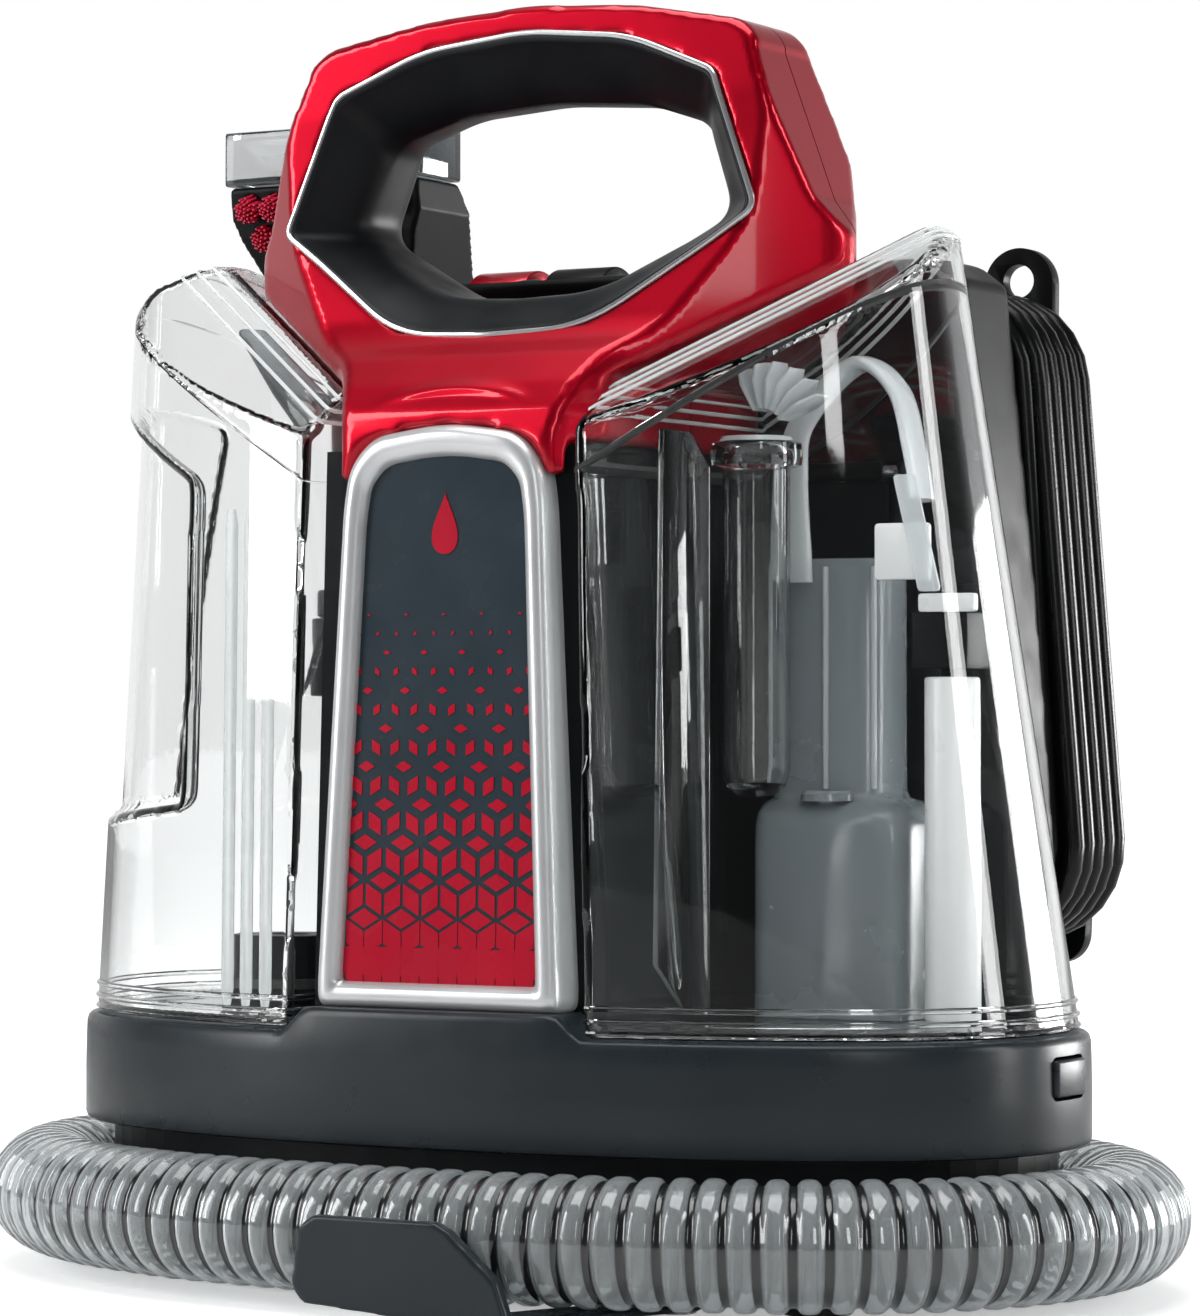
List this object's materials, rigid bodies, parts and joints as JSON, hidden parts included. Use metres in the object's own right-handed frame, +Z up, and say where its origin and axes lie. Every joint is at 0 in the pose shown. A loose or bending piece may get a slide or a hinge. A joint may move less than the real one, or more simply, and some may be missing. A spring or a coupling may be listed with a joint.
{
  "type": "spot extractor",
  "caption": "Portable carpet and upholstery spot cleaner with clear lift-out tanks, looped red handle, ringed hose, stored stain tool and wound mains cord.",
  "frame": {"origin": "on the floor under the middle of the base", "axes": "+X from the clean tank to the dirty tank, -Y out of the front label, +Z up"},
  "size_m": [0.3289, 0.2215, 0.326],
  "materials": {
    "slate": "satin, dark slate grey moulded ABS",
    "black": "satin black moulded plastic",
    "soft_grip": "soft-touch black overmould",
    "red": "glossy metallic red",
    "silver": "silver painted plastic, satin",
    "label": "printed label, slate fading into a red rhombus pattern",
    "clear": "clear moulded polycarbonate",
    "smoke": "grey translucent moulding",
    "hose_clear": "clear grey corrugated hose",
    "rubber": "matt black rubber",
    "white": "white moulded plastic",
    "steel": "steel",
    "motor": "motor can",
    "brass": "plated brass blades",
    "board": "circuit board",
    "bristle": "red nylon bristles",
    "cord": "black cord jacket",
    "tube": "silicone tube"
  },
  "bodies": {
    "root": {"base_housing": "slate", "base_plate": "black", "rubber_feet": "rubber", "case_screws": "steel", "hose_clip_pin": "steel", "hose_elbow": "black", "hose": "hose_clear", "hose_cuff": "black", "core_housing": "black", "silver_frame": "silver", "label_panel": "label", "handle_front": "red", "handle_rear": "red", "handle_grip": "soft_grip", "rear_tower": "black", "vent_grille": "black", "vacuum_motor": "motor", "fan_housing": "black", "air_duct": "black", "pump": "black", "water_lines": "tube", "heater_block": "motor", "control_board": "board", "switch_pins": "steel", "valve_seat": "black", "cord_hook_lower": "black", "cord_coil": "cord", "cord_lead": "cord", "strain_relief": "rubber", "plug": "cord", "plug_blades": "brass", "tool_cradle": "black", "hose_grip": "black", "trigger_pin": "steel"},
    "clean_tank": {"clean_tank": "clear", "clean_tank_top": "clear"},
    "clean_cap": {"clean_tank_cap": "black", "cap_seal": "rubber", "valve_spring": "steel"},
    "clean_valve": {"tank_valve": "white"},
    "dirty_tank": {"dirty_tank": "clear", "dirty_tank_top": "clear", "tank_gasket": "rubber", "inlet_tube": "smoke", "standpipe": "smoke", "float_guide": "white", "drain_pin": "steel"},
    "float": {"tank_float": "black"},
    "drain": {"drain_flap": "black"},
    "power_switch": {"power_switch": "red"},
    "heat_switch": {"heat_switch": "black"},
    "fan": {"impeller": "motor"},
    "cord_hook": {"cord_hook_upper": "black"},
    "hose_clip": {"hose_clip": "slate"},
    "trigger": {"grip_trigger": "red"},
    "stain_tool": {"stain_tool": "black", "tool_window": "clear", "tool_brush": "bristle"},
    "left_latch": {"left_latch": "slate"},
    "right_latch": {"right_latch": "slate"}
  },
  "joints": [
    {"name": "clean_tank_lift", "type": "slide", "parent": "root", "child": "clean_tank", "axis": [-0.8601, 0, 0.5101], "range_m": [0, 0.15]},
    {"name": "dirty_tank_lift", "type": "slide", "parent": "root", "child": "dirty_tank", "axis": [0.8601, 0, 0.5101], "range_m": [0, 0.15]},
    {"name": "cap_turn", "type": "hinge", "parent": "clean_tank", "child": "clean_cap", "pos_m": [-0.088, 0, 0.072], "axis": [0, 0, 1], "range_deg": [0, 90]},
    {"name": "valve_press", "type": "slide", "parent": "clean_cap", "child": "clean_valve", "axis": [0, 0, 1], "range_m": [0, 0.003], "stiffness_N_per_m": 400, "springref_m": -0.002, "deforming": ["valve_spring"]},
    {"name": "float_rise", "type": "slide", "parent": "dirty_tank", "child": "float", "axis": [0, 0, 1], "range_m": [0, 0.02]},
    {"name": "drain_swing", "type": "hinge", "parent": "dirty_tank", "child": "drain", "pos_m": [0.066, 0.027, 0.207], "axis": [1, 0, 0], "range_deg": [-75, 0]},
    {"name": "power_rock", "type": "hinge", "parent": "root", "child": "power_switch", "pos_m": [-0.046, 0.048, 0.259], "axis": [1, 0, 0], "range_deg": [-8, 8]},
    {"name": "heat_rock", "type": "hinge", "parent": "root", "child": "heat_switch", "pos_m": [-0.022, 0.048, 0.259], "axis": [1, 0, 0], "range_deg": [-8, 8]},
    {"name": "fan_spin", "type": "hinge", "parent": "root", "child": "fan", "pos_m": [0, -0.008, 0.13], "axis": [0, 0, 1], "continuous": true},
    {"name": "cord_hook_turn", "type": "hinge", "parent": "root", "child": "cord_hook", "pos_m": [0.07768, 0.06, 0.23177], "axis": [0, 1, 0], "range_deg": [0, 180]},
    {"name": "hose_clip_swing", "type": "hinge", "parent": "root", "child": "hose_clip", "pos_m": [0.062, -0.058, 0.002], "axis": [0, 0, 1], "range_deg": [0, 60]},
    {"name": "trigger_pull", "type": "hinge", "parent": "root", "child": "trigger", "pos_m": [-0.103, 0.092, 0.228], "axis": [1, 0, 0], "range_deg": [-10, 0], "stiffness_Nm_per_rad": 0.2, "springref_deg": 5.73},
    {"name": "tool_release", "type": "slide", "parent": "root", "child": "stain_tool", "axis": [0, 0, 1], "range_m": [0, 0.03]},
    {"name": "left_latch_press", "type": "slide", "parent": "root", "child": "left_latch", "axis": [1, 0, 0], "range_m": [0, 0.0025], "stiffness_N_per_m": 600, "springref_m": -0.001},
    {"name": "right_latch_press", "type": "slide", "parent": "root", "child": "right_latch", "axis": [-1, 0, 0], "range_m": [0, 0.0025], "stiffness_N_per_m": 600, "springref_m": -0.001}
  ]
}
